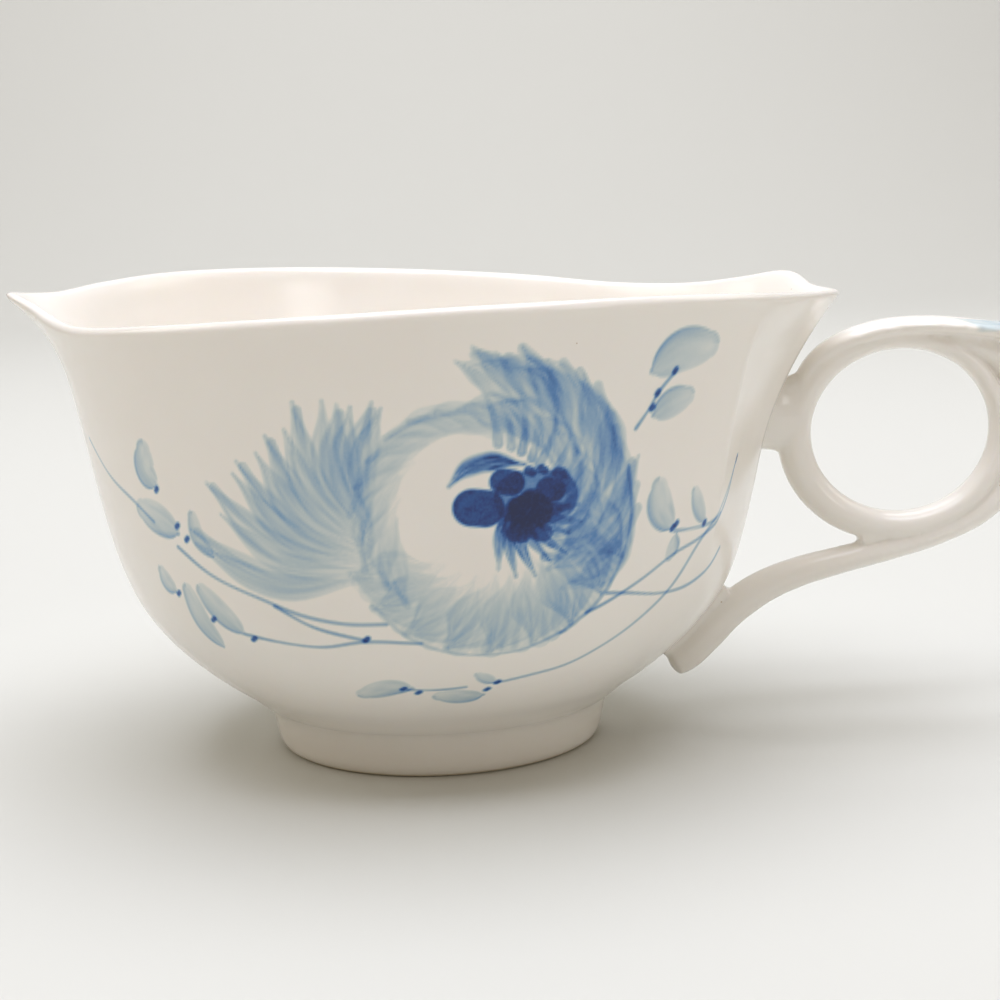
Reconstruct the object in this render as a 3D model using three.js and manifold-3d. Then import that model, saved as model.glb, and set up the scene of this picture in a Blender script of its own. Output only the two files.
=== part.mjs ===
// Porcelain teacup on a low foot, with a wavy drawn-out rim and a ring handle with a tail.
// Millimetres, +Z up. The handle stands in the XZ plane, on the +X side.
import * as THREE from "three";
import { mergeVertices } from "three/addons/utils/BufferGeometryUtils.js";
import Module from "manifold-3d";

// Driving dimensions
const GAP = 0.3; // seam left between touching pieces
const BOX_CENTRE = new THREE.Vector2(14.48, -0.04); // centre of the cup's outline seen from above

const RIM_RADIUS = 46.4; // outside radius of the rim where it isn't drawn out
const RIM_HEIGHT = 57; // mean height of the rim
const FLARE_REACH = { left: 9, right: 24 }; // how far down the wall each flare starts
const WAVE_START = 28; // height where the wall starts to follow the wave of the rim
const BOWL_COLUMNS = 112;

// Outside of the bowl from the middle of its floor up to the edge, then down the inside.
const BOWL_OUTSIDE = [
  [0, 5], [14, 5], [21.5, 5], [22.6, 6], [25.2, 8], [28, 10], [31.6, 13],
  [34.5, 16], [37.3, 20], [39.4, 25], [41.2, 32], [42.7, 40], [43.9, 46],
  [45, 51], [45.9, 55], [46.3, 56.6],
];
const BOWL_EDGE = [[45.9, 57.2], [45.3, 57.4], [44.6, 57.1], [44.2, 56.4]];
const BOWL_INSIDE = [
  [43.4, 53.5], [42, 48], [40.4, 41], [38.7, 32.5], [36.9, 26],
  [34.4, 21], [31, 17], [26.5, 13.4], [20.5, 10.2], [13, 8.6], [0, 8.2],
];

// The rim line: angle in degrees from the handle, outside radius, height.
const RIM = [
  [-173, 51.3, 58.8], [-168, 49, 57.6], [-161, 47.2, 56.2], [-150, 46.4, 55.6],
  [-130, 46.3, 56.3], [-108, 46.4, 57.2], [-85, 46.5, 57.8], [-62, 46.7, 57.8],
  [-42, 47.1, 57.2], [-25, 48.3, 56.3], [-12, 50.6, 55.7], [-3, 52.4, 55.4],
  [6, 51.2, 55.7], [16, 51.4, 57], [25, 48.6, 56], [36, 47.2, 55.1],
  [52, 46.6, 55], [72, 46.4, 56.3], [95, 46.4, 57.6], [118, 46.4, 58.6],
  [140, 46.5, 59], [158, 46.9, 58.6], [172, 48.3, 58.1], [181, 50.3, 58.5],
];
const FLUTE = { angle: -21, width: 15, depth: 1.2, from: 24, to: 56 };

const FOOT = [
  [17.9, 4.7], [18, 1], [18.4, 0], [20.1, 0], [20.5, 0.25], [20.8, 0.8], [21.3, 4.7],
];

// Finger hole of the ring, and how its thickness runs from the thin side to the thick side.
const RING = { x: 60.3, z: 37.2, halfWidth: 11.9, halfHeight: 10.5, wide: 4.8 };
const RING_THICK = { mean: 2.9, swing: 0.8, thickestAt: 215 };

// Centre line of the tail, from below the thumb rest round the ring to its curled end.
const TAIL_LINE = [
  [74.4, 47.4], [76.8, 43], [77.1, 36.5], [75.3, 30.6], [71.2, 26.7], [65.6, 24.3],
  [59, 22.5], [52.8, 21.2], [47.2, 19.9], [42.2, 18.2], [38.2, 15.3], [35.2, 11.6],
  [32.6, 8.5], [30.4, 7.2], [29.2, 7.4],
];
const TAIL = { thick: 3.1, wide: 4.4 };

// Centre line of the thumb rest, from the cup outwards over the top of the ring.
const REST_LINE = [
  [50.4, 47.2], [53.6, 49.2], [57, 50.2], [61, 50.6], [65.7, 50.5], [70, 50],
  [74, 49.5], [77.2, 49.4], [79.4, 50.1],
];
const REST = { thick: 2.3, wide: 6.8 };

// Side outline of the web that joins the foot of the tail to the lower wall of the bowl.
const WEB_OUTLINE = [
  [44, 19.4], [42.6, 20], [39.4, 18.9], [35.2, 17.3], [31, 16], [24, 10],
  [24, 8.6], [27, 8], [29.2, 6.6], [31, 8], [34.4, 12.6], [38.2, 16.2],
];
const WEB_WIDTH = 3.8;

// Side outline of the pad that carries the ring on the wall of the bowl.
const PAD_OUTLINE = [[42, 34.8], [44.6, 34.5], [45.9, 35.4], [45.7, 38], [46.1, 41.4], [47.2, 45], [46.4, 45.4], [42, 45]];
const PAD_WIDTH = 5.2;

const RAD = Math.PI / 180;
const wasm = await Module();
wasm.setup();

const porcelain = (color, roughness) =>
  new THREE.MeshStandardMaterial({ color, roughness, metalness: 0 });

function toSolid(geometry) {
  const bare = geometry.index ? geometry.toNonIndexed() : geometry.clone();
  bare.deleteAttribute("normal");
  bare.deleteAttribute("uv");
  const merged = mergeVertices(bare, 1e-4);
  const vertProperties = merged.attributes.position.array;
  const triVerts = new Uint32Array(merged.index.array);
  return new wasm.Manifold(new wasm.Mesh({ numProp: 3, vertProperties, triVerts }));
}

function toGeometry(solid) {
  const mesh = solid.getMesh();
  const geometry = new THREE.BufferGeometry();
  geometry.setAttribute("position", new THREE.BufferAttribute(mesh.vertProperties, 3));
  geometry.setIndex(new THREE.BufferAttribute(mesh.triVerts, 1));
  geometry.computeVertexNormals();
  return geometry;
}

// Turned shape about the Z axis from [radius, height] points.
function turned(points, columns) {
  const profile = points.map(([r, z]) => new THREE.Vector2(r, z));
  return new THREE.LatheGeometry(profile, columns).rotateX(Math.PI / 2);
}

const rimPoints = RIM.map(([angle, r, z]) => {
  return new THREE.Vector3(r * Math.cos(angle * RAD), r * Math.sin(angle * RAD), z);
});
const rimLine = new THREE.CatmullRomCurve3(rimPoints, true, "centripetal");

// Where a point of the plain turned wall goes once the rim is drawn out and the flute pressed in.
function shapedWall(rim, r, z) {
  const angle = Math.atan2(rim.y, rim.x);
  const side = Math.pow(0.5 + 0.5 * Math.cos(angle), 2);
  const reach = THREE.MathUtils.lerp(FLARE_REACH.left, FLARE_REACH.right, side);
  const flare = Math.pow(Math.max(0, (z - RIM_HEIGHT + reach) / reach), 2);
  const wave = Math.pow(Math.max(0, (z - WAVE_START) / (RIM_HEIGHT - WAVE_START)), 2);
  const across = Math.max(0, 1 - Math.pow((angle / RAD - FLUTE.angle) / FLUTE.width, 2));
  const along = Math.sin(Math.PI * THREE.MathUtils.clamp((z - FLUTE.from) / (FLUTE.to - FLUTE.from), 0, 1));
  const press = FLUTE.depth * across * across * along;
  const radius = r + (Math.hypot(rim.x, rim.y) - RIM_RADIUS) * flare - press;
  const height = z + (rim.z - RIM_HEIGHT) * wave;
  return [radius * Math.cos(angle), radius * Math.sin(angle), height];
}

function bowlGeometry(profile) {
  const geometry = turned(profile, BOWL_COLUMNS);
  const position = geometry.attributes.position;
  for (let i = 0; i < position.count; i++) {
    const column = Math.floor(i / profile.length) % BOWL_COLUMNS;
    const [r, z] = profile[i % profile.length];
    const rim = rimLine.getPoint(column / BOWL_COLUMNS);
    position.setXYZ(i, ...shapedWall(rim, r, z));
  }
  return geometry;
}

function bowl() {
  return bowlGeometry([...BOWL_OUTSIDE, ...BOWL_EDGE, ...BOWL_INSIDE]);
}

// The space kept clear for the bowl: its outside, grown by the seam and closed across the inside.
function bowlSpace() {
  const grown = BOWL_OUTSIDE.slice(2).map(([r, z]) => [r + GAP, z]);
  const inner = [0, FLUTE.from];
  return toSolid(bowlGeometry([[0, 5 - GAP], [21.5, 5 - GAP], ...grown, inner]));
}

function footRing() {
  return turned([...FOOT, FOOT[0]], 72);
}

// Ring round the finger hole with an oval section, grown by a clearance on every side.
function ringGeometry(clearance) {
  const ring = new THREE.TorusGeometry(2, 1, 12, 56);
  const position = ring.attributes.position;
  for (let i = 0; i < position.count; i++) {
    const angle = Math.atan2(position.getY(i), position.getX(i));
    const out = Math.hypot(position.getX(i), position.getY(i)) - 2;
    const swing = RING_THICK.swing * Math.cos(angle - RING_THICK.thickestAt * RAD);
    const half = (RING_THICK.mean + swing) / 2;
    const offset = half + out * (half + clearance);
    const x = RING.x + (RING.halfWidth + offset) * Math.cos(angle);
    const z = RING.z + (RING.halfHeight + offset) * Math.sin(angle);
    position.setXYZ(i, x, -position.getZ(i) * (RING.wide / 2 + clearance), z);
  }
  return ring;
}

// Bar of oval section along a line in the XZ plane.
function bar(line, size, clearance = 0) {
  const path = new THREE.CatmullRomCurve3(line.map(([x, z]) => new THREE.Vector3(x, 0, z)));
  const section = new THREE.Shape();
  section.absellipse(0, 0, size.wide / 2 + clearance, size.thick / 2 + clearance, 0, 2 * Math.PI);
  const options = { extrudePath: path, steps: 40, curveSegments: 5, bevelEnabled: false };
  return toSolid(new THREE.ExtrudeGeometry(section, options));
}

// Flat-sided piece from a side outline, centred on the XZ plane.
function plate(outline, width) {
  const shape = new THREE.Shape(outline.map(([x, z]) => new THREE.Vector2(x, z)));
  const geometry = new THREE.ExtrudeGeometry(shape, { depth: width, bevelEnabled: false });
  return toSolid(geometry.rotateX(Math.PI / 2).translate(0, width / 2, 0));
}

const ringSpace = toSolid(ringGeometry(GAP));
const wallSpace = bowlSpace();

function tail() {
  const restSpace = bar(REST_LINE, REST, GAP);
  const joined = bar(TAIL_LINE, TAIL).add(plate(WEB_OUTLINE, WEB_WIDTH));
  return joined.subtract(ringSpace).subtract(wallSpace).subtract(restSpace);
}

function thumbRest() {
  return bar(REST_LINE, REST).subtract(ringSpace);
}

function pad() {
  return plate(PAD_OUTLINE, PAD_WIDTH).subtract(ringSpace).subtract(wallSpace);
}

const cup = new THREE.Group();
cup.position.set(-BOX_CENTRE.x, -BOX_CENTRE.y, 0);

function place(name, geometry, material) {
  const mesh = new THREE.Mesh(geometry, material);
  mesh.name = name;
  cup.add(mesh);
}

place("bowl", bowl(), porcelain("#e9e5dc", 0.12));
place("foot_ring", footRing(), porcelain("#dcd6ca", 0.2));
place("handle_ring", ringGeometry(0), porcelain("#e6e1d8", 0.12));
place("handle_tail", toGeometry(tail()), porcelain("#e3ded4", 0.12));
place("thumb_rest", toGeometry(thumbRest()), porcelain("#ebe7df", 0.12));
place("handle_pad", toGeometry(pad()), porcelain("#e0dbd0", 0.14));

const teacup = new THREE.Group();
teacup.add(cup);

export default teacup;
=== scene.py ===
import math

import bmesh
import bpy
import numpy as np
from bpy.props import FloatProperty, FloatVectorProperty, IntProperty, PointerProperty
from mathutils import Matrix, Vector


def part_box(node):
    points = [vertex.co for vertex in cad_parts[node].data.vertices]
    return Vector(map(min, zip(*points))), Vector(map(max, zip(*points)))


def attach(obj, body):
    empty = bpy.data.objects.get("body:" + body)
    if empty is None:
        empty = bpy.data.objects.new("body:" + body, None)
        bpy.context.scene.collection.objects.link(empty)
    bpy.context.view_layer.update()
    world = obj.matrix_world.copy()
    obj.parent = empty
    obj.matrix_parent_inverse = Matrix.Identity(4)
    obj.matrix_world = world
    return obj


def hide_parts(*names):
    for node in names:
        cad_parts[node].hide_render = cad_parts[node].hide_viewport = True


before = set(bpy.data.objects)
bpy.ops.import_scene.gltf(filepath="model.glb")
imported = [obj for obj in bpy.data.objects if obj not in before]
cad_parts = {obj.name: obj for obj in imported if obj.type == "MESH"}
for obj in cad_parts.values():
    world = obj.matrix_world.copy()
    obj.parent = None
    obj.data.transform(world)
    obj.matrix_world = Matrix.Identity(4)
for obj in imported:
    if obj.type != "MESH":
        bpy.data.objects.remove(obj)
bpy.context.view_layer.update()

bl_info = {
    "name": "Painted porcelain teacup",
    "version": (1, 0, 0),
    "blender": (4, 5, 0),
    "location": "3D View > Sidebar > Teacup",
    "description": "Builds a thin porcelain teacup with a ring handle and blue brush painting",
    "category": "Add Mesh",
}

MM = 0.001
FOOT_LOW, FOOT_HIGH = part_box("foot_ring")
AXIS = np.array([(FOOT_LOW.x + FOOT_HIGH.x) / 2, (FOOT_LOW.y + FOOT_HIGH.y) / 2, 0.0])


def linear(code):
    """Linear RGB of an sRGB hex colour."""
    parts = [int(code[k:k + 2], 16) / 255 for k in (1, 3, 5)]
    return tuple(c / 12.92 if c <= 0.04045 else ((c + 0.055) / 1.055) ** 2.4 for c in parts)


# ------------------------------------------- sizes, in millimetres from the cup's axis

RIM_RADIUS, RIM_HEIGHT, WAVE_START = 46.4, 57.0, 28.0
FLARE_LEFT, FLARE_RIGHT = 9.0, 24.0

# Shallow flute pressed into the wall beside the handle: depth, middle and half width in degrees
# from the handle, and the heights between which it fades in and out.
FLUTE_DEEP, FLUTE_AT, FLUTE_HALF = 1.5, -21, 15
FLUTE_FOOT, FLUTE_TOP = (20, 38), (50, 56.5)

# Turned outline of the bowl: outside from the middle of the floor, over the edge, down the inside.
OUTSIDE = [
    (0, 5), (7, 5), (14, 5), (20.6, 5), (22.7, 6), (25.2, 8), (28, 10), (31.6, 13), (34.5, 16),
    (37.3, 20), (39.4, 25), (41.2, 32), (42.7, 40), (43.9, 46), (45, 51), (45.9, 55), (46.3, 56.6),
]
EDGE = [(46.1, 57.15), (45.3, 57.4), (44.6, 57.1), (44.2, 56.4)]
INSIDE = [
    (43.4, 53.5), (42, 48), (40.4, 41), (38.7, 32.5), (36.9, 26), (34.4, 21), (31, 17),
    (26.5, 13.4), (20.5, 10.2), (13, 8.6), (6, 8.25), (0, 8.2),
]
PAINT_START = 3.45  # outline parameter, in control spans, where the wall leaves the foot

# Rim line: angle from the handle in degrees, outside radius, height.
RIM = [
    (-173, 51.3, 58.8), (-168, 49, 57.6), (-161, 47.2, 56.2), (-150, 46.4, 55.6),
    (-130, 46.3, 56.3), (-108, 46.4, 57.2), (-85, 46.5, 57.8), (-62, 46.7, 57.8),
    (-42, 47.1, 57.2), (-25, 48.3, 56.3), (-12, 50.6, 55.7), (-3, 52.4, 55.4),
    (6, 51.2, 55.7), (16, 51.4, 57), (25, 48.6, 56), (36, 47.2, 55.1),
    (52, 46.6, 55), (72, 46.4, 56.3), (95, 46.4, 57.6), (118, 46.4, 58.6),
    (140, 46.5, 59), (158, 46.9, 58.6), (172, 48.3, 58.1), (181, 50.3, 58.5),
]

FOOT = [
    (17.6, 5.4), (17.8, 4.4), (18, 1), (18.1, 0.3), (18.5, 0), (19.7, 0), (20.4, 0.3), (20.8, 1),
    (21.15, 2.6), (21.5, 4.2), (22.1, 5.5), (23.3, 6.7), (22.2, 7.2), (19, 6.4),
]

RING_X, RING_Z, RING_HALF_X, RING_HALF_Z, RING_WIDE = 60.6, 37.2, 11.6, 10.5, 4.8
RING_THICK, RING_SWING, RING_THICK_AT = 3.45, 0.95, math.radians(205)
RING_STEPS = 97
TAIL = [
    (64.8, 48.6), (69.2, 48.2), (73.1, 46.2), (75.4, 42.8), (76.3, 38.4), (76.1, 34.0),
    (74.8, 30.2),
    (71.2, 26.4), (65.6, 23.7), (59, 21.9), (52.8, 20.5), (47.1, 19.1), (42.3, 17.2), (38.3, 14.5),
    (35.0, 11.2), (32.3, 8.8), (30.1, 7.9),
]
TAIL_THICK = ((0, 0.3, 0.5, 0.62, 0.78, 1), (2.6, 3.6, 3.2, 3.5, 4.5, 4.3))
REST = [
    (47.6, 42.6), (48.4, 45.0), (50.3, 47.2), (53.4, 49.0), (57, 50.1), (61, 50.6), (65.7, 50.5),
    (70, 50), (74, 49.5), (77.2, 49.4), (79.2, 50.1),
]
# Brush strokes on top of the thumb rest, from above, kept to the skin above these heights.
REST_LOW, REST_SKIN = 49, (49.4, 50.2)
REST_STROKES = [
    ("petal", 1.3, 0.12, 0.26, [(67, -1.6), (71.5, -2.3), (76, -2.0)]),
    ("petal", 1.2, 0.10, 0.24, [(68.5, 0.2), (73, 0.3), (78, 0)]),
    ("petal", 1.3, 0.12, 0.24, [(67, 1.8), (71.5, 2.4), (76, 2.1)]),
]
NECK = [(42.2, 40.6), (43.9, 40.05), (45.6, 39.8), (48.6, 39.6)]
GUSSET = [(55.0, 23.3), (57.4, 24.0), (60.8, 24.5)]
WEB = [(28.6, 9.8), (31.2, 11.9), (33.9, 14.5), (36.0, 16.5), (37.7, 17.6)]

# Spacing of mesh rows along an outline, how far the fine mesh reaches past a stroke, steps of a
# bar between two of its points, and the share of a bar's length over which each end rounds off.
RIM_SPACING, WALL_SPACING, FOOT_SPACING, PAINT_MARGIN = 0.4, 1.2, 0.35, 1.1
BAR_STEPS, END_ROUND = 9, 0.03


# ---------------------------------------------------------------- curves and the drawn-out wall

def spline(points, where, closed=False):
    """Points of a smooth curve through points, at positions counted in spans."""
    p = np.array(points, float)
    if closed:
        ext, spans = np.concatenate([p[-1:], p, p[:2]]), len(p)
    else:
        ext, spans = np.concatenate([2 * p[:1] - p[1:2], p, 2 * p[-1:] - p[-2:-1]]), len(p) - 1
    where = np.asarray(where, float)
    k = np.clip(where.astype(int), 0, spans - 1)
    f = (where - k)[:, None]
    a, b, c, d = ext[k], ext[k + 1], ext[k + 2], ext[k + 3]
    ab, bc, cd = (
        np.maximum(np.linalg.norm(v - u, axis=1, keepdims=True), 1e-9) ** 0.5
        for u, v in ((a, b), (b, c), (c, d))
    )
    start = ((b - a) / ab - (c - a) / (ab + bc) + (c - b) / bc) * bc
    end = ((c - b) / bc - (d - b) / (bc + cd) + (d - c) / cd) * bc
    return (
        b + start * f + (3 * (c - b) - 2 * start - end) * f**2
        + (2 * (b - c) + start + end) * f**3
    )


def smooth_line(points, count):
    """count points along a smooth open curve."""
    return spline(points, np.linspace(0, len(points) - 1, count))


def step(low, high, x):
    """Smooth step from 0 at low to 1 at high."""
    f = np.clip((x - low) / (high - low), 0, 1)
    return f * f * (3 - 2 * f)


# Bars of the handle: line, thickness in the plane of the ring and width across it.
BARS = (
    (TAIL, lambda s: np.interp(s, *TAIL_THICK), lambda s: 4.3 + 0.3 * step(0.6, 0.9, s)),
    (REST, lambda s: 2.1 + 0.3 * step(0.1, 0.3, s), lambda s: 4.4 + 2.4 * step(0.12, 0.45, s)),
    (NECK, lambda s: 11.4 + s - 2.4 * np.sin(math.pi * s), lambda s: 7.4 - 3.0 * s),
    (GUSSET, lambda s: 3.0 + 0 * s, lambda s: 3.8 + 0 * s),
    (WEB, lambda s: 4.0 - 0.6 * s, lambda s: 4.4 - 0.8 * s),
)

RIM_TURNS = spline(
    [(r * math.cos(math.radians(a)), r * math.sin(math.radians(a)), z) for a, r, z in RIM],
    np.arange(0, len(RIM), 1 / 48), closed=True,
)
RIM_ANGLE = np.unwrap(np.arctan2(RIM_TURNS[:, 1], RIM_TURNS[:, 0]))


def rim_at(angle):
    """Radius and height of the rim line at these angles."""
    turns = np.concatenate([RIM_ANGLE - 2 * math.pi, RIM_ANGLE, RIM_ANGLE + 2 * math.pi])
    radius = np.tile(np.hypot(RIM_TURNS[:, 0], RIM_TURNS[:, 1]), 3)
    height = np.tile(RIM_TURNS[:, 2], 3)
    return np.interp(angle, turns, radius), np.interp(angle, turns, height)


def wall(angle, r, z):
    """Where a point of the outline goes once the rim is drawn out and the flute pressed in."""
    rim_r, rim_z = rim_at(angle)
    degrees = np.degrees(angle)
    reach = FLARE_LEFT + (FLARE_RIGHT - FLARE_LEFT) * ((1 + np.cos(angle)) / 2) ** 2
    flare = np.maximum(0, (z - RIM_HEIGHT + reach) / reach) ** 2
    wave = np.maximum(0, (z - WAVE_START) / (RIM_HEIGHT - WAVE_START)) ** 2
    along = step(*FLUTE_FOOT, z) * (1 - step(*FLUTE_TOP, z))
    press = FLUTE_DEEP * np.clip(1 - ((degrees - FLUTE_AT) / FLUTE_HALF) ** 2, 0, 1) * along
    radius = r + (rim_r - RIM_RADIUS) * flare - press
    height = z + (rim_z - RIM_HEIGHT) * wave
    return np.stack([radius * np.cos(angle), radius * np.sin(angle), height], axis=-1)


# ---------------------------------------------------------------- brush painting

def lattice(seed, rows, columns):
    """Grid of seeded random values in 0..1."""
    return np.random.RandomState(seed).rand(rows, columns)


def mottle(grid, u, v):
    """Soft value noise: grid read at u, v in 0..1, eased between its knots."""
    rows, columns = grid.shape
    x, y = np.clip(u, 0, 1) * (rows - 1.001), np.clip(v, 0, 1) * (columns - 1.001)
    i, j = x.astype(int), y.astype(int)
    fx, fy = step(0, 1, x - i), step(0, 1, y - j)
    low = grid[i, j] * (1 - fx) + grid[i + 1, j] * fx
    high = grid[i, j + 1] * (1 - fx) + grid[i + 1, j + 1] * fx
    return low * (1 - fy) + high * fy


# How wide a stroke is along its length, from where the brush lands to where it lifts.
SHAPES = {
    "petal": lambda s: (0.15 + 0.85 * step(0, 0.45, s)) * (1 - 0.9 * step(0.62, 1.02, s)),
    "leaf": lambda s: np.sqrt(np.clip(1 - ((s - 0.56) / 0.57) ** 2, 0, 1)),
    "spike": lambda s: np.maximum(0.08, 1 - s) ** 0.8,
    "stem": lambda s: 0.75 + 0.25 * np.cos(9 * s) * (1 - s) + 0.25 * s,
    "dab": lambda s: np.full_like(s, 1.0),
}


def nearest(chart, line):
    """For each chart point: position 0..1 along the line, and signed distance from it."""
    a, b = line[:-1], line[1:]
    run = b - a
    length = np.linalg.norm(run, axis=1)
    begin = np.concatenate([[0], np.cumsum(length)[:-1]])
    rel = chart[:, None, :] - a[None]
    f = np.clip((rel * run).sum(2) / np.maximum(length**2, 1e-9), 0, 1)
    gap = rel - f[..., None] * run
    distance = np.hypot(gap[..., 0], gap[..., 1])
    k = distance.argmin(1)
    n = np.arange(len(chart))
    side = np.sign(run[k, 0] * rel[n, k, 1] - run[k, 1] * rel[n, k, 0])
    return (begin[k] + f[n, k] * length[k]) / length.sum(), side * distance[n, k]


def paint(chart, strokes, feather, bristles):
    """Cobalt density 0..1 at each chart point, from strokes laid one over another."""
    ink = np.zeros(len(chart))
    for seed, (shape, half, start, end, points) in enumerate(strokes):
        line = smooth_line(points, 6 * len(points)) if len(points) > 2 else smooth_line(points, 6)
        margin = half + 1
        inside = np.all((chart > line.min(0) - margin) & (chart < line.max(0) + margin), axis=1)
        if not inside.any():
            continue
        s, d = nearest(chart[inside], line)
        width = half * SHAPES[shape](s)
        room = width - np.abs(d)
        soft = feather * {"petal": 1.6, "leaf": 1.2}.get(shape, 0.9)
        cover = step(-soft, soft, room)
        across = 0.5 + 0.5 * d / np.maximum(width, 1e-6)
        hairs = max(3, int(half * 2 * bristles))
        streak = mottle(lattice(seed, hairs, 4), across, s)
        fine = mottle(lattice(seed + 500, hairs * 2, 9), across, s)
        load = start + (end - start) * s
        if shape == "petal":
            pool = np.exp(-((room - 0.15) / 0.25) ** 2) * 0.18
            load = load * (0.30 + 0.85 * streak + 0.50 * fine + pool)
        elif shape == "leaf":
            # One side of the brush carries the colour, and the other is nearly water.
            edge = np.exp(-((room - 0.1) / 0.2) ** 2) * step(0.3, 0.6, across)
            rich = np.exp(-(1 - across) / 0.2) + 0.35 * edge
            load = load * (0.4 + 0.4 * streak + 1.0 * rich)
        elif shape == "spike":
            load = load * (0.45 + 0.55 * streak + 0.4 * fine)
        else:
            load = load * (0.92 + 0.1 * fine)
        laid = np.clip(load * cover, 0, 0.97)
        ink[inside] = 1 - (1 - ink[inside]) * (1 - laid)
    return ink


def turned(centre, degrees, reach):
    """Point at this reach and angle from a centre."""
    angle = math.radians(degrees)
    return (centre[0] + reach * math.cos(angle), centre[1] + reach * math.sin(angle))


def arc(centre, begin, end, reach_begin, reach_end, bulge=0.0):
    """Five points of a curved stroke round centre, angles in degrees."""
    points = []
    for f in np.linspace(0, 1, 5):
        reach = reach_begin + (reach_end - reach_begin) * f + bulge * math.sin(math.pi * f)
        points.append(turned(centre, begin + (end - begin) * f, reach))
    return points


def blossom():
    """Strokes of a full round blossom: (shape, half width, load at start, load at end, points)."""
    rng = np.random.RandomState(7)
    heart, eye = (5.5, 37.5), (9.6, 39.6)
    strokes = []
    # Back fan of long dry petals on the left.
    for k in range(15):
        f = k / 14
        lean = 179 - 92 * f + rng.uniform(-3, 3)
        root = (-7.0 + 0.5 * f, 31.0 + 6.5 * f)
        reach = 22.5 - 5.5 * f - 5 * abs(f - 0.3) + rng.uniform(-2.5, 2.0)
        side = turned(root, lean + 10, reach * 0.5)
        tip = turned(root, lean - 5, reach)
        strokes.append(("petal", rng.uniform(1.3, 1.9), 0.08, 0.20, [root, side, tip]))
        if k % 2:
            vein = [
                turned(tip, lean + 176, 1), turned(root, lean + 4, reach * 0.62),
                turned(root, lean + 9, reach * 0.3),
            ]
            strokes.append(("spike", 0.55, 0.22, 0.05, vein))
    # Pale petals that close round the light heart from the left.
    for k in range(10):
        f = k / 9
        begin = 215 - 118 * f
        reach = 12.4 + 1.4 * math.sin(math.pi * f) + rng.uniform(-0.6, 0.6)
        petal = arc(heart, begin - 38, begin + 12, reach - 3.4, reach)
        vein = arc(heart, begin + 14, begin - 16, reach + 0.4, reach - 1.6)
        strokes.append(("petal", 1.7, 0.04, 0.12, petal))
        strokes.append(("spike", 0.4, 0.14, 0.04, vein))
    # Belly petals: a pale wash under the heart, streaked downwards.
    for k in range(9):
        f = k / 8
        angle = -20 - 138 * f
        load = 0.26 - 0.12 * f
        petal = arc(heart, angle + 26, angle, 7.0, 17.4 - 1.6 * f)
        strokes.append(("petal", 3.4, 0.03, load, petal))
    for k in range(24):
        f = k / 23
        angle = -18 - 134 * f + rng.uniform(-2, 2)
        inner, outer = 6.6 + rng.uniform(-1, 2.5), 17.2 - 1.4 * f + rng.uniform(-0.9, 0.2)
        load = 0.06 + 0.12 * (1 - f) * rng.uniform(0.4, 1)
        strokes.append(("spike", 1.3, load, 0.02, arc(heart, angle, angle + 14, outer, inner)))
    strokes.append(("stem", 0.24, 0.34, 0.30, arc(heart, 14, -60, 17.8, 17.3, 0.1)))
    strokes.append(("stem", 0.22, 0.30, 0.14, arc(heart, -58, -142, 17.3, 15.8, 0.5)))
    # Right-hand petals wrap the bloom from its crown down, one over another.
    for k in range(11):
        f = k / 10
        begin = 88 - 92 * f + rng.uniform(-3, 3)
        reach = 16.0 + 1.5 * math.sin(math.pi * (0.1 + 0.6 * f)) + rng.uniform(-0.5, 1.0)
        by = 44 + rng.uniform(-6, 8)
        vein = arc(heart, begin + 3, begin - by * 0.7, reach + 0.8, 13.4, 0.4)
        strokes.append(("petal", 2.0, 0.10, 0.17, arc(heart, begin - by, begin, 12.6, reach, 0.8)))
        strokes.append(("spike", 0.6, 0.20, 0.05, vein))
    # Crown tips flick up and to the left.
    for angle, reach in (
        (98, 17.4), (92, 18.6), (84, 17.9), (76, 19.0), (66, 18.3), (52, 18.9), (38, 18.5),
        (16, 19.4),
    ):
        petal = arc(heart, angle - 26, angle, 13.0, reach, -0.4)
        strokes.append(("petal", 1.2, 0.16, 0.22, petal))
    for k in range(9):
        f = k / 8
        begin = 96 - 104 * f + rng.uniform(-3, 3)
        reach = 12.6 + rng.uniform(-0.6, 0.6)
        petal = arc(heart, begin - 36, begin + 6, 9.6, reach, 0.6)
        strokes.append(("petal", 1.9, 0.20, 0.16, petal))
    for k in range(13):
        angle = 92 - 112 * k / 12 + rng.uniform(-3, 3)
        vein = arc(heart, angle - 16, angle, 8.4, 13.4 + rng.uniform(-1, 2.5), 0.5)
        strokes.append(("spike", 0.55, 0.36, 0.04, vein))
    # Dark petals hanging below the eye.
    strokes.append(("dab", 2.9, 0.62, 0.62, [(9.6, 39.6), (13.4, 39.4)]))
    for k in range(8):
        f = k / 7
        angle = 246 + 96 * f
        reach = 9.4 - 3.4 * abs(f - 0.3) + rng.uniform(-1, 0.6)
        root = turned(eye, angle, 1.2)
        middle, tip = turned(eye, angle - 5, reach * 0.55), turned(eye, angle + 6, reach)
        strokes.append(("spike", 1.25, 0.80, 0.42, [root, middle, tip]))
    # Eye: a cluster of loaded dabs under one hooked petal.
    for x, y, half, load in (
        (5.0, 38.7, 2.1, 0.88), (8.2, 41.4, 1.45, 0.86), (10.9, 38.0, 1.8, 0.84),
        (13.1, 40.2, 1.3, 0.80), (10.8, 42.4, 0.55, 0.8), (12.2, 42.5, 0.5, 0.8),
        (14.2, 41.9, 0.7, 0.75), (9.3, 35.6, 1.1, 0.75), (11.9, 35.4, 1.0, 0.7),
    ):
        ends = [(x - half * 0.35, y + 0.1), (x + half * 0.35, y - 0.1)]
        strokes.append(("dab", half, load, load, ends))
    hook = [(10.2, 43.2), (6.6, 43.8), (3.8, 43.1), (1.9, 41.3)]
    strokes.append(("petal", 1.0, 0.70, 0.62, hook))
    return strokes


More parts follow.
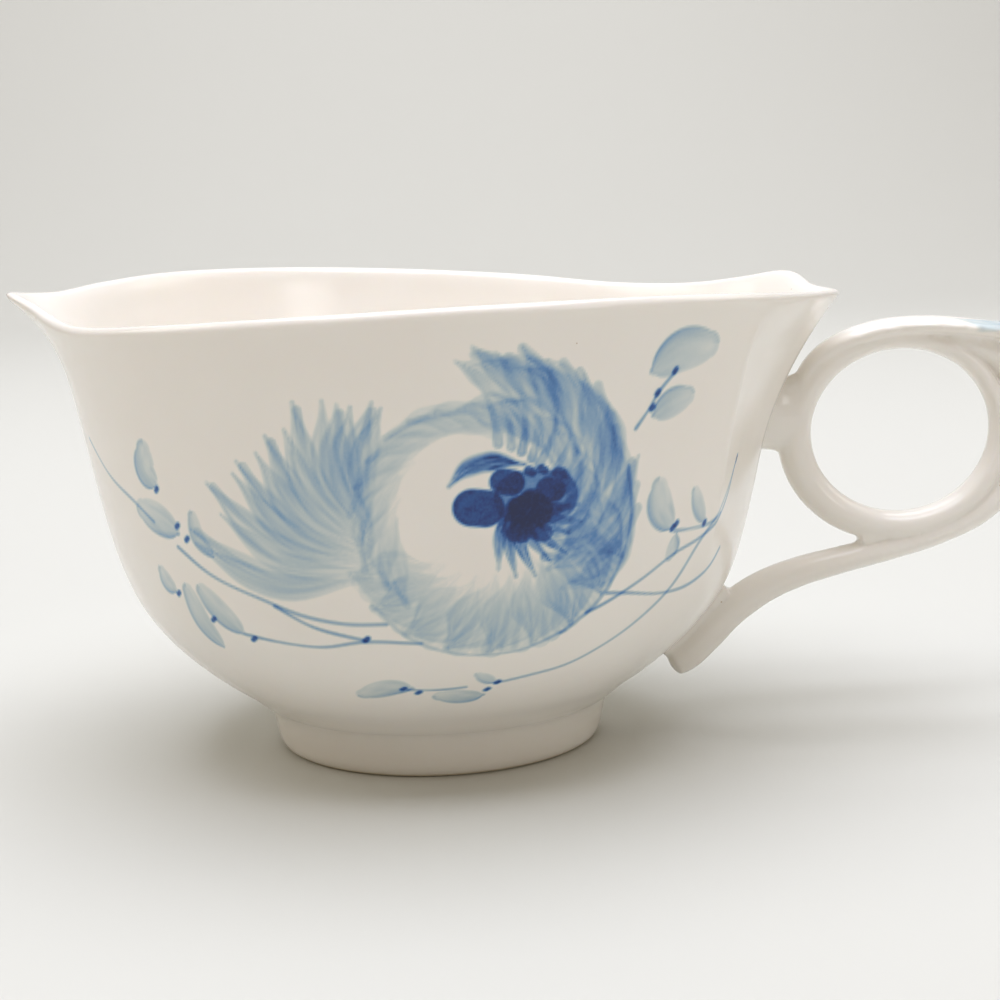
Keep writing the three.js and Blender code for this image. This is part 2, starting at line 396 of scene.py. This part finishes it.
def sprigs():
    """Strokes of the leafy sprigs round the blossom."""
    stem, leaf, dab = "stem", "leaf", "dab"
    strokes = [(stem, 0.21, load, load * 0.85, points) for load, points in (
        (0.45, [(-52, 45), (-46, 41), (-40, 38.4), (-36, 36.2)]),
        (0.5, [(-32, 33.5), (-27, 30.5), (-20, 28), (-15, 26.2), (-10, 25.3), (-5.5, 25.3)]),
        (0.55, [(-18.5, 27.3), (-14, 24.8), (-8, 23.1)]),
        (0.5, [(-23, 23), (-18, 22.3), (-13, 22), (-8, 22.9), (-1.8, 22.6)]),
        (0.5, [(-3.5, 14.5), (0, 14.3), (3, 14.6)]),
        (0.42, [
            (6.5, 15), (10, 15.8), (15, 17), (20, 19.5), (25, 22.5), (30, 26), (35, 31),
            (40, 34.5), (44, 37.5), (46.5, 40),
        ]),
        (0.5, [
            (17.3, 24.8), (20, 25.8), (25, 28), (30, 30.3), (35, 31.5), (39, 33), (43, 36),
            (46, 39.5),
        ]),
        (0.5, [(20, 27), (23, 26.5), (28, 25.5), (33, 25.5), (38, 27), (41, 29)]),
        (0.55, [(23.7, 46), (25.3, 47.8), (27, 50), (29, 51.8)]),
        (0.45, [(30, 33.2), (33, 33), (37, 33), (40, 33.8)]),
    )]
    strokes += [(leaf, half * 1.05, 0.34, 0.20, points) for half, points in (
        (1.9, [(-34.6, 41.0), (-36.4, 42.6), (-36.2, 45.2)]),
        (2.0, [(-31.8, 35.4), (-34.8, 36.6), (-38.2, 37.6)]),
        (1.0, [(-26.4, 33.0), (-28.4, 35.0), (-28.9, 37.6)]),
        (1.2, [(-33.8, 27.6), (-35.2, 28.5), (-36.0, 29.9)]),
        (1.4, [(-27.0, 20.6), (-29.6, 23.8), (-31.4, 28.0)]),
        (1.5, [(-23.4, 23.3), (-26.2, 25.6), (-28.8, 28.3)]),
        (1.6, [(-3.2, 15.0), (-5.6, 15.0), (-8.6, 13.6)]),
        (1.5, [(4.8, 12.6), (2.6, 12.4), (0.2, 12.8)]),
        (0.8, [(6.3, 15.2), (5.4, 16.0), (4.6, 16.9)]),
        (2.3, [(26.0, 52.2), (30.0, 54.2), (34.6, 54.6)]),
        (1.6, [(26.3, 47.2), (28.8, 48.4), (31.4, 49.0)]),
        (1.9, [(29.4, 33.8), (27.6, 36.2), (27.4, 38.8)]),
        (1.1, [(35.6, 33.5), (34.4, 35.4), (33.6, 37.4)]),
        (0.9, [(30.2, 32.6), (30.0, 31.4), (29.2, 30.2)]),
    )]
    strokes += [(dab, 0.34, 0.8, 0.8, [(x, y), (x + 0.3, y + 0.3)]) for x, y in (
        (-34.8, 40.2), (-31.8, 36), (-30.4, 34.5), (-33.4, 27.2), (-27.8, 24.4), (-22, 22.3),
        (-4.2, 14.6), (-2.5, 13.7), (6.5, 15), (5.3, 13.6), (25.8, 48), (26.5, 49.6), (29, 51.9),
        (29.5, 33.5), (30.1, 33.9), (35.6, 33.1), (46.1, 39.6), (-8, 23.1),
    )]
    return strokes


# ---------------------------------------------------------------- meshes

def finish_mesh(bm, name, piece_material, nodes):
    """Turns a bmesh in millimetres from the cup's axis into a piece that rides on the cup."""
    bmesh.ops.recalc_face_normals(bm, faces=bm.faces)
    bmesh.ops.scale(bm, vec=(MM, MM, MM), verts=bm.verts)
    bmesh.ops.translate(bm, vec=Vector(AXIS), verts=bm.verts)
    mesh = bpy.data.meshes.new(name)
    bm.to_mesh(mesh)
    bm.free()
    mesh.polygons.foreach_set("use_smooth", [True] * len(mesh.polygons))
    piece = bpy.data.objects.new(name, mesh)
    bpy.context.scene.collection.objects.link(piece)
    mesh.materials.append(piece_material)
    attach(piece, "root")
    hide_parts(*nodes)
    return piece


def store_ink(mesh, ink):
    """Keeps the painting's density as an attribute of the mesh."""
    layer = mesh.attributes.new("cobalt", "FLOAT", "POINT")
    layer.data.foreach_set("value", ink.astype(np.float32))


def set_places(bm, places):
    """Moves each vertex to its place."""
    for vert, place in zip(bm.verts, places):
        vert.co = place


def profile_verts(bm, points, layer=None):
    """Vertices and edges of an outline in the XZ plane."""
    verts = [bm.verts.new((r, 0, z)) for r, z in points]
    if layer is not None:
        for k, vert in enumerate(verts):
            vert[layer] = k
    edges = [bm.edges.new(pair) for pair in zip(verts, verts[1:])]
    return verts, edges


def spin_outline(bm, verts, edges, columns):
    """Turns an outline once round the cup's axis and merges its seam and poles."""
    bmesh.ops.spin(
        bm, geom=verts + edges, cent=(0, 0, 0), axis=(0, 0, 1), angle=2 * math.pi,
        steps=columns, use_merge=True,
    )
    bmesh.ops.remove_doubles(bm, verts=bm.verts, dist=1e-4)


def outline_steps(controls, spacing):
    """Positions along an outline, in spans, about spacing(k) millimetres apart in span k."""
    where = []
    for k, (a, b) in enumerate(zip(controls, controls[1:])):
        count = max(1, round(math.dist(a, b) / spacing(k)))
        where += [k + n / count for n in range(count)]
    return np.array(where + [len(controls) - 1.0])


def sweep(bm, centres, tangents, thick, wide, sides=20):
    """Closed bar of oval section along a line in the XZ plane, extruded from a flat cap."""
    start = bmesh.ops.create_circle(bm, cap_ends=True, segments=sides, radius=1)
    ring = start["verts"]
    cap = ring[0].link_faces[0]
    unit = [(v.co.x, v.co.y) for v in ring]

    def place(verts, k):
        t = tangents[k] / np.linalg.norm(tangents[k])
        across = np.array([-t[1], t[0]])
        for vert, (u, v) in zip(verts, unit):
            flat = centres[k] + across * u * thick[k] / 2
            vert.co = (flat[0], v * wide[k] / 2, flat[1])

    place(ring, 0)
    for k in range(1, len(centres)):
        geom = bmesh.ops.extrude_face_region(bm, geom=[cap], use_keep_orig=(k == 1))["geom"]
        face = [g for g in geom if isinstance(g, bmesh.types.BMFace)][0]
        verts = list(face.verts)
        ring = [
            next(e.other_vert(vert) for e in vert.link_edges if e.other_vert(vert) in verts)
            for vert in ring
        ]
        place(ring, k)
        cap = face


def cast(piece, voxel, rounds):
    """Melts the crossing bars of a piece into one skin with soft creases."""
    remesh = piece.modifiers.new("one_skin", "REMESH")
    remesh.mode = "VOXEL"
    remesh.voxel_size = voxel * MM
    smooth = piece.modifiers.new("soft_creases", "SMOOTH")
    smooth.factor = 0.5
    smooth.iterations = rounds
    made = bpy.data.meshes.new_from_object(
        piece.evaluated_get(bpy.context.evaluated_depsgraph_get())
    )
    piece.modifiers.clear()
    made.name = piece.data.name
    piece.data = made
    made.polygons.foreach_set("use_smooth", [True] * len(made.polygons))


# ---------------------------------------------------------------- materials

def add(tree, kind, settings=None, **links):
    """Adds a node, sets its properties and sockets, and links its inputs."""
    node = tree.nodes.new(kind)
    for key, value in (settings or {}).items():
        if key.startswith("in_"):
            name = key[3:]
            node.inputs[int(name) if name.isdigit() else name].default_value = value
        else:
            setattr(node, key, value)
    for key, source in links.items():
        name = key[1:] if key[0] == "i" and key[1:].isdigit() else key.replace("_", " ")
        tree.links.new(source, node.inputs[int(name) if name.isdigit() else name])
    return node


def ramp(tree, source, stops, interpolation="LINEAR"):
    """Colour ramp from (position, hex) stops."""
    node = add(tree, "ShaderNodeValToRGB", Fac=source)
    bar = node.color_ramp
    bar.interpolation = interpolation
    while len(bar.elements) < len(stops):
        bar.elements.new(0.5)
    for element, (position, code) in zip(bar.elements, stops):
        element.position = position
        element.color = (*linear(code), 1)
    return node


# Cobalt under the glaze: thin washes stay grey-blue, loaded strokes go to near-black navy.
COBALT = [
    (0.0, "#f7f4ed"), (0.10, "#dfe5e3"), (0.25, "#bfd0d6"), (0.42, "#95b5d0"),
    (0.60, "#5d8dc4"), (0.78, "#265aa3"), (0.90, "#16387e"), (1.0, "#0d1f52"),
]


def porcelain(name, painted, bare_foot=False):
    """Glazed hard porcelain: cool-white body under a clear feldspar glaze, fired glossy.
    It gives the eye a faintly warm white, a sharp soft-edged sheen, the least ripple in
    reflections, and here and there an iron speck."""
    glaze = bpy.context.scene.teacup_glaze
    material = bpy.data.materials.new(name)
    material.use_nodes = True
    tree = material.node_tree
    tree.nodes.clear()
    coords = add(tree, "ShaderNodeTexCoord").outputs["Object"]
    # Tone drifts over about 30 mm, as the glaze lies thicker and thinner.
    drift = add(tree, "ShaderNodeTexNoise", {"in_Scale": 35.0, "in_Detail": 2.0}, Vector=coords)
    tone = ramp(tree, drift.outputs["Fac"], [(0.3, "#f5f1ea"), (0.7, "#f9f6f0")])
    colour = tone.outputs["Color"]
    if painted:
        inked = add(tree, "ShaderNodeAttribute", {"attribute_name": "cobalt"})
        # The pigment gathers in grains of about 0.4 mm in the fired wash.
        grain = add(
            tree, "ShaderNodeTexNoise", {"in_Scale": 2600.0, "in_Detail": 2.0}, Vector=coords
        )
        shift = add(
            tree, "ShaderNodeMath", {"operation": "MULTIPLY_ADD", "in_1": 0.16, "in_2": 0.92},
            i0=grain.outputs["Fac"],
        )
        dosed = add(
            tree, "ShaderNodeMath", {"operation": "MULTIPLY"},
            i0=inked.outputs["Fac"], i1=shift.outputs[0],
        )
        blue = ramp(tree, dosed.outputs[0], COBALT)
        mask = add(
            tree, "ShaderNodeMapRange", {"in_From Min": 0.0, "in_From Max": 0.06},
            Value=dosed.outputs[0],
        )
        mix = add(
            tree, "ShaderNodeMix", {"data_type": "RGBA"},
            i0=mask.outputs[0], i6=colour, i7=blue.outputs["Color"],
        )
        colour = mix.outputs[2]
    # Iron specks: pale dots of about 0.2 mm, on a 10 mm grid whose cells rarely reach the skin.
    cells = add(
        tree, "ShaderNodeTexVoronoi", {"in_Scale": 95.0, "in_Randomness": 1.0}, Vector=coords
    )
    near = add(
        tree, "ShaderNodeMath", {"operation": "LESS_THAN", "in_1": 0.011},
        i0=cells.outputs["Distance"],
    )
    speck = add(
        tree, "ShaderNodeMix", {"data_type": "RGBA", "in_7": (*linear("#d3c2b0"), 1)},
        i0=near.outputs[0], i6=colour,
    )
    colour = speck.outputs[2]
    # Gloss drifts over about 8 mm.
    patches = add(
        tree, "ShaderNodeTexNoise", {"in_Scale": 120.0, "in_Detail": 2.0}, Vector=coords
    )
    rough = add(
        tree, "ShaderNodeMapRange",
        {"in_To Min": glaze.roughness * 0.8, "in_To Max": glaze.roughness * 1.25},
        Value=patches.outputs["Fac"],
    )
    roughness = rough.outputs[0]
    if bare_foot:
        # The rim that stands in the kiln is wiped free of glaze: dull, faintly creamy biscuit.
        split = add(tree, "ShaderNodeSeparateXYZ", Vector=coords)
        bare = add(
            tree, "ShaderNodeMapRange", {"in_From Min": 0.0006, "in_From Max": 0.0003},
            Value=split.outputs["Z"],
        )
        biscuit = add(
            tree, "ShaderNodeMix", {"data_type": "RGBA", "in_7": (*linear("#e2d8c4"), 1)},
            i0=bare.outputs[0], i6=colour,
        )
        colour = biscuit.outputs[2]
        dull = add(
            tree, "ShaderNodeMath", {"operation": "MULTIPLY_ADD", "in_1": 0.5},
            i0=bare.outputs[0], i2=roughness,
        )
        roughness = dull.outputs[0]
    # Ripple of the glaze over about 5 mm, some ten microns deep.
    ripple = add(
        tree, "ShaderNodeTexNoise", {"in_Scale": 180.0, "in_Detail": 1.0}, Vector=coords
    )
    relief = add(
        tree, "ShaderNodeBump", {"in_Strength": 0.12, "in_Distance": 0.0002},
        Height=ripple.outputs["Fac"],
    )
    shader = add(
        tree, "ShaderNodeBsdfPrincipled",
        {"in_IOR": 1.5, "in_Subsurface Weight": 0.08, "in_Subsurface Scale": 0.0015,
         "in_Subsurface Radius": (1.0, 0.75, 0.5)},
        Base_Color=colour, Roughness=roughness, Normal=relief.outputs["Normal"],
    )
    add(tree, "ShaderNodeOutputMaterial", Surface=shader.outputs[0])
    return material


def matte_sweep():
    """Painted board: a pale studio sweep that takes soft shadows and gives no gloss."""
    stage = bpy.context.scene.teacup_stage
    material = bpy.data.materials.new("matte_sweep")
    material.use_nodes = True
    tree = material.node_tree
    shader = tree.nodes["Principled BSDF"]
    coords = add(tree, "ShaderNodeTexCoord").outputs["Object"]
    cloud = add(tree, "ShaderNodeTexNoise", {"in_Scale": 6.0, "in_Detail": 2.0}, Vector=coords)
    darker = (*(0.985 * c for c in stage.board), 1)
    tone = add(
        tree, "ShaderNodeMix",
        {"data_type": "RGBA", "in_6": (*stage.board, 1), "in_7": darker},
        i0=cloud.outputs["Fac"],
    )
    tree.links.new(tone.outputs[2], shader.inputs["Base Color"])
    shader.inputs["Roughness"].default_value = 0.55
    shader.inputs["Specular IOR Level"].default_value = 0.3
    return material


# Board, in metres: front edge, start and radius of its bend, top edge and width.
BOARD_FRONT, BEND_FROM, BEND_RADIUS, BOARD_TOP, BOARD_WIDE = -1.6, 0.7, 0.5, 2.2, 5.0

# Camera: place from the cup's axis in metres; yaw, pitch and roll in degrees; millimetres of
# lens and sensor; colour of the even light.
CAMERA_PLACE, CAMERA_TURN = (0, -0.25, 0.0723), (2.009, 9.56, 2.0)
LENS, SENSOR = 71.11, 36.0
SKY = "#ffe6c6"

# Soft lights round the table: name, place, aim, side, power in watts at full strength, colour.
LAMPS = (
    ("overhead_box", (0.0, -0.04, 0.9), (0, 0, 0), 0.9, 10.0, "#f1f4ff"),
    ("backdrop_box", (0.0, 0.60, 0.95), (0, 1.15, 0.25), 0.8, 4.1, "#f6f8ff"),
    ("window", (-0.35, -0.75, 0.75), (0, 0, 0.04), 0.5, 0.5, "#fffaf2"),
    ("far_window", (0.75, -0.75, 0.36), (0, 0, 0.04), 0.3, 0.8, "#ffffff"),
    ("left_box", (-0.8, 0.1, 0.6), (0, 0, 0.03), 0.5, 1.5, "#fffaf0"),
    ("right_box", (0.8, 0.25, 0.6), (0, 0, 0.03), 0.5, 1.1, "#fffaf0"),
)


# ---------------------------------------------------------------- settings

class TeacupShape(bpy.types.PropertyGroup):
    columns: IntProperty(
        name="Columns", description="Steps of the spin round the cup", default=240, min=24,
    )
    voxel: FloatProperty(
        name="Cast fineness", description="Voxel of the handle's skin in millimetres",
        default=0.3, min=0.1,
    )
    creases: IntProperty(
        name="Crease softness", description="Smoothing rounds on the handle's creases",
        default=4, min=0,
    )


class TeacupGlaze(bpy.types.PropertyGroup):
    roughness: FloatProperty(
        name="Roughness", description="Roughness of the fired glaze",
        default=0.15, min=0, max=1, subtype="FACTOR",
    )


class TeacupPainting(bpy.types.PropertyGroup):
    feather: FloatProperty(
        name="Edge softness", description="Soft edge of a stroke in millimetres",
        default=0.22, min=0.02,
    )
    bristles: FloatProperty(
        name="Bristles", description="Brush hairs that show, per millimetre of stroke",
        default=2.2, min=0.2,
    )
    cuts: IntProperty(
        name="Detail", description="Cuts in each face under the painting", default=4, min=1,
    )


class TeacupStage(bpy.types.PropertyGroup):
    board: FloatVectorProperty(
        name="Board colour", description="Colour of the floor and backdrop",
        default=linear("#d5d6d1"), size=3, subtype="COLOR", min=0, max=1,
    )
    sky: FloatProperty(
        name="Fill light", description="Strength of the even light from all round",
        default=0.25, min=0,
    )
    lamps: FloatProperty(
        name="Lamps", description="Strength of all the soft lamps together", default=1.0, min=0,
    )


# ---------------------------------------------------------------- pieces

class TEACUP_OT_bowl(bpy.types.Operator):
    """Spin the bowl, draw out its rim and paint the blossom and sprigs on its wall"""
    bl_idname = "teacup.bowl"
    bl_label = "Painted bowl"

    def execute(self, context):
        shape, painting = context.scene.teacup_shape, context.scene.teacup_painting
        controls = OUTSIDE + EDGE + INSIDE
        rim_first, rim_last = len(OUTSIDE) - 2, len(OUTSIDE) + len(EDGE) - 1
        where = outline_steps(
            controls, lambda k: RIM_SPACING if rim_first <= k <= rim_last else WALL_SPACING
        )
        outline = spline(controls, where)
        table = np.linspace(0, len(where) - 1, 20 * len(where))
        dense = spline(controls, np.interp(table, np.arange(len(where)), where))
        run = np.concatenate([[0], np.cumsum(np.hypot(*np.diff(dense, axis=0).T))])
        paint_from = np.interp(PAINT_START, where, np.arange(len(where)))
        paint_to = np.interp(rim_first + 0.9, where, np.arange(len(where)))

        bm = bmesh.new()
        layer = bm.verts.layers.float.new("outline")
        verts, edges = profile_verts(bm, outline, layer)
        spin_outline(bm, verts, edges, shape.columns)

        def read():
            bm.verts.ensure_lookup_table()
            flat = np.array([(v.co.x, v.co.y, v[layer]) for v in bm.verts])
            t = flat[:, 2]
            r, z = np.interp(t, table, dense[:, 0]), np.interp(t, table, dense[:, 1])
            length = np.interp(t, table, run) - np.interp(paint_from, table, run)
            angle = np.arctan2(flat[:, 1], flat[:, 0])
            turn = np.where(angle > math.pi / 2, angle - 2 * math.pi, angle) + math.pi / 2
            return t, angle, r, z, np.stack([turn * r, length], axis=1)

        strokes = blossom() + sprigs()
        t, angle, r, z, chart = read()
        outer = (t > paint_from) & (t < paint_to)
        reach = np.full(len(chart), 99.0)
        for _, half, _, _, points in strokes:
            _, d = nearest(chart, smooth_line(points, 5 * len(points)))
            reach = np.minimum(reach, np.abs(d) - half)
        near = outer & (reach < PAINT_MARGIN)
        bm.verts.index_update()
        faces = [
            f for f in bm.faces
            if any(near[v.index] for v in f.verts) and all(outer[v.index] for v in f.verts)
        ]
        cut = list({e for f in faces for e in f.edges})
        bmesh.ops.subdivide_edges(bm, edges=cut, cuts=painting.cuts, use_grid_fill=True)
        t, angle, r, z, chart = read()
        ink = np.zeros(len(t))
        outer = (t > paint_from - 1) & (t < paint_to)
        ink[outer] = paint(chart[outer], strokes, painting.feather, painting.bristles)
        set_places(bm, wall(angle, r, z))
        glaze = porcelain("glazed_porcelain_painted", True)
        piece = finish_mesh(bm, "bowl_painted", glaze, ["bowl"])
        store_ink(piece.data, ink)
        return {"FINISHED"}


class TEACUP_OT_foot(bpy.types.Operator):
    """Spin the low foot that carries the bowl"""
    bl_idname = "teacup.foot"
    bl_label = "Foot"

    def execute(self, context):
        bm = bmesh.new()
        outline = spline(FOOT, outline_steps(FOOT, lambda k: FOOT_SPACING))
        outline[:, 1] = np.maximum(outline[:, 1], 0)
        verts, edges = profile_verts(bm, outline)
        spin_outline(bm, verts, edges, context.scene.teacup_shape.columns)
        bmesh.ops.bridge_loops(bm, edges=[e for e in bm.edges if e.is_boundary])
        glaze = porcelain("glazed_porcelain_foot", False, bare_foot=True)
        finish_mesh(bm, "foot", glaze, ["foot_ring"])
        return {"FINISHED"}


class TEACUP_OT_handle(bpy.types.Operator):
    """Cast the handle: ring, tail, thumb rest and the neck that joins them to the bowl"""
    bl_idname = "teacup.handle"
    bl_label = "Handle"

    def execute(self, context):
        shape = context.scene.teacup_shape
        bm = bmesh.new()
        phi = np.linspace(0, 2 * math.pi, RING_STEPS)
        thick = RING_THICK + RING_SWING * np.cos(phi - RING_THICK_AT)
        centres = np.stack([
            RING_X + (RING_HALF_X + thick / 2) * np.cos(phi),
            RING_Z + (RING_HALF_Z + thick / 2) * np.sin(phi),
        ], axis=1)
        tangents = np.gradient(centres, axis=0)
        tangents[0] = tangents[-1] = (0, 1)
        sweep(bm, centres, tangents, thick, np.full(RING_STEPS, RING_WIDE))

        for line, thick, wide in BARS:
            s = np.linspace(0, 1, BAR_STEPS * len(line))
            centres = smooth_line(line, len(s))
            # Ends are rounded off over a millimetre or so.
            ends = np.sqrt(1 - np.clip(1 - np.minimum(s, 1 - s) / END_ROUND, 0, 0.95) ** 2)
            sweep(bm, centres, np.gradient(centres, axis=0), thick(s) * ends, wide(s) * ends)
        piece = finish_mesh(
            bm, "handle_cast", porcelain("glazed_porcelain_handle", True),
            ["handle_ring", "handle_tail", "thumb_rest", "handle_pad"],
        )
        cast(piece, shape.voxel, shape.creases)
        count = len(piece.data.vertices)
        places = np.zeros(count * 3, np.float32)
        piece.data.vertices.foreach_get("co", places)
        x, y, z = ((places.reshape(-1, 3) - AXIS) / MM).T
        painting = context.scene.teacup_painting
        ink = np.zeros(count)
        top = z > REST_LOW
        chart = np.stack([x, y], axis=1)
        ink[top] = paint(chart[top], REST_STROKES, painting.feather, painting.bristles)
        ink *= step(*REST_SKIN, z)
        store_ink(piece.data, ink)
        return {"FINISHED"}


class TEACUP_OT_stage(bpy.types.Operator):
    """Add the sweep, the soft lights and the camera"""
    bl_idname = "teacup.stage"
    bl_label = "Stage"

    def execute(self, context):
        stage = context.scene.teacup_stage
        bm = bmesh.new()
        bend = [
            (BEND_FROM + BEND_RADIUS * math.sin(a), BEND_RADIUS - BEND_RADIUS * math.cos(a))
            for a in np.linspace(0, math.pi / 2, 17)
        ]
        curve = [(BOARD_FRONT, 0), *bend, (BEND_FROM + BEND_RADIUS, BOARD_TOP)]
        verts = [bm.verts.new((-BOARD_WIDE / 2, y, z)) for y, z in curve]
        edges = [bm.edges.new(pair) for pair in zip(verts, verts[1:])]
        made = bmesh.ops.extrude_edge_only(bm, edges=edges)["geom"]
        moved = [g for g in made if isinstance(g, bmesh.types.BMVert)]
        bmesh.ops.translate(bm, vec=(BOARD_WIDE, 0, 0), verts=moved)
        bmesh.ops.recalc_face_normals(bm, faces=bm.faces)
        mesh = bpy.data.meshes.new("sweep")
        bm.to_mesh(mesh)
        bm.free()
        mesh.polygons.foreach_set("use_smooth", [True] * len(mesh.polygons))
        mesh.materials.append(matte_sweep())
        board = bpy.data.objects.new("sweep", mesh)
        context.scene.collection.objects.link(board)

        world = bpy.data.worlds.new("studio")
        context.scene.world = world
        world.use_nodes = True
        sky = world.node_tree.nodes["Background"]
        sky.inputs["Color"].default_value = (*linear(SKY), 1)
        sky.inputs["Strength"].default_value = stage.sky

        for name, place, aim, size, share, code in LAMPS:
            lamp = bpy.data.lights.new(name, "AREA")
            lamp.shape = "SQUARE"
            lamp.size = size
            lamp.energy = share * stage.lamps
            lamp.color = linear(code)
            light = bpy.data.objects.new(name, lamp)
            light.location = place
            light.rotation_euler = (Vector(aim) - Vector(place)).to_track_quat("-Z", "Y").to_euler()
            context.scene.collection.objects.link(light)

        lens = bpy.data.cameras.new("camera")
        lens.lens, lens.sensor_width = LENS, SENSOR
        lens.clip_start = 0.01
        camera = bpy.data.objects.new("camera", lens)
        yaw, pitch, roll = (math.radians(a) for a in CAMERA_TURN)
        ahead = Vector((
            math.sin(yaw) * math.cos(pitch), math.cos(yaw) * math.cos(pitch), -math.sin(pitch)
        ))
        right = Vector((math.cos(yaw), -math.sin(yaw), 0))
        up = right.cross(ahead)
        turned_right = right * math.cos(roll) - up * math.sin(roll)
        turned_up = right * math.sin(roll) + up * math.cos(roll)
        turn = Matrix((turned_right, turned_up, -ahead)).transposed().to_4x4()
        camera.matrix_world = Matrix.Translation(Vector(AXIS) + Vector(CAMERA_PLACE)) @ turn
        context.scene.collection.objects.link(camera)
        context.scene.camera = camera
        context.scene.view_settings.view_transform = "Standard"
        return {"FINISHED"}


STEPS = (TEACUP_OT_bowl, TEACUP_OT_foot, TEACUP_OT_handle, TEACUP_OT_stage)
GROUPS = {
    "teacup_shape": TeacupShape, "teacup_glaze": TeacupGlaze,
    "teacup_painting": TeacupPainting, "teacup_stage": TeacupStage,
}


class TEACUP_PT_panel(bpy.types.Panel):
    """Lists the teacup's settings and the steps that build it"""
    bl_idname = "TEACUP_PT_panel"
    bl_label = "Teacup"
    bl_space_type = "VIEW_3D"
    bl_region_type = "UI"
    bl_category = "Teacup"

    def draw(self, context):
        for group, kind in GROUPS.items():
            for name in kind.__annotations__:
                self.layout.prop(getattr(context.scene, group), name)
        for operator in STEPS:
            self.layout.operator(operator.bl_idname)


def register():
    for kind in (*GROUPS.values(), *STEPS, TEACUP_PT_panel):
        bpy.utils.register_class(kind)
    for name, kind in GROUPS.items():
        setattr(bpy.types.Scene, name, PointerProperty(type=kind))


def unregister():
    for name in GROUPS:
        delattr(bpy.types.Scene, name)
    for kind in reversed((*GROUPS.values(), *STEPS, TEACUP_PT_panel)):
        bpy.utils.unregister_class(kind)


def main():
    register()
    bpy.ops.teacup.bowl()
    bpy.ops.teacup.foot()
    bpy.ops.teacup.handle()
    bpy.ops.teacup.stage()


if __name__ == "__main__":
    main()
